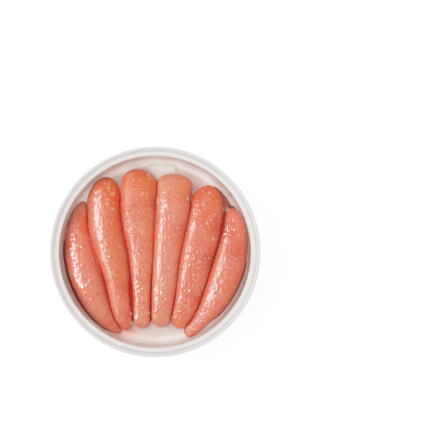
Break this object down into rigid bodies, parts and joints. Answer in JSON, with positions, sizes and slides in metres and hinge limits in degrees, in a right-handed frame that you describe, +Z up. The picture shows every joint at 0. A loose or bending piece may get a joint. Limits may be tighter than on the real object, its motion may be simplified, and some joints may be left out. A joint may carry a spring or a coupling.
{
  "type": "seasoned cod roe in a round tub",
  "caption": "Plump seasoned cod roe sacs lying side by side like an open fan on the floor of a shallow round white plastic tub.",
  "frame": {"origin": "middle of the tub's flat base, on the surface that the tub stands on", "axes": "+Z up out of the tub's mouth; +Y from the middle towards the boss on the floor, where the sacs' thick ends lie; +X to the right seen from above"},
  "size_m": [0.18, 0.18, 0.036],
  "materials": {
    "tub": "moulded white polypropylene, satin",
    "roe": "thin wet membrane over fine salmon-pink eggs, glossy and a little translucent",
    "roe_in_shade": "thin wet membrane over fine deep red eggs, glossy and a little translucent"
  },
  "bodies": {
    "root": {"tub": "tub", "roe_1": "roe", "roe_2": "roe", "roe_3": "roe", "roe_4": "roe", "roe_5": "roe", "roe_6": "roe", "roe_lobe": "roe_in_shade"}
  },
  "joints": []
}
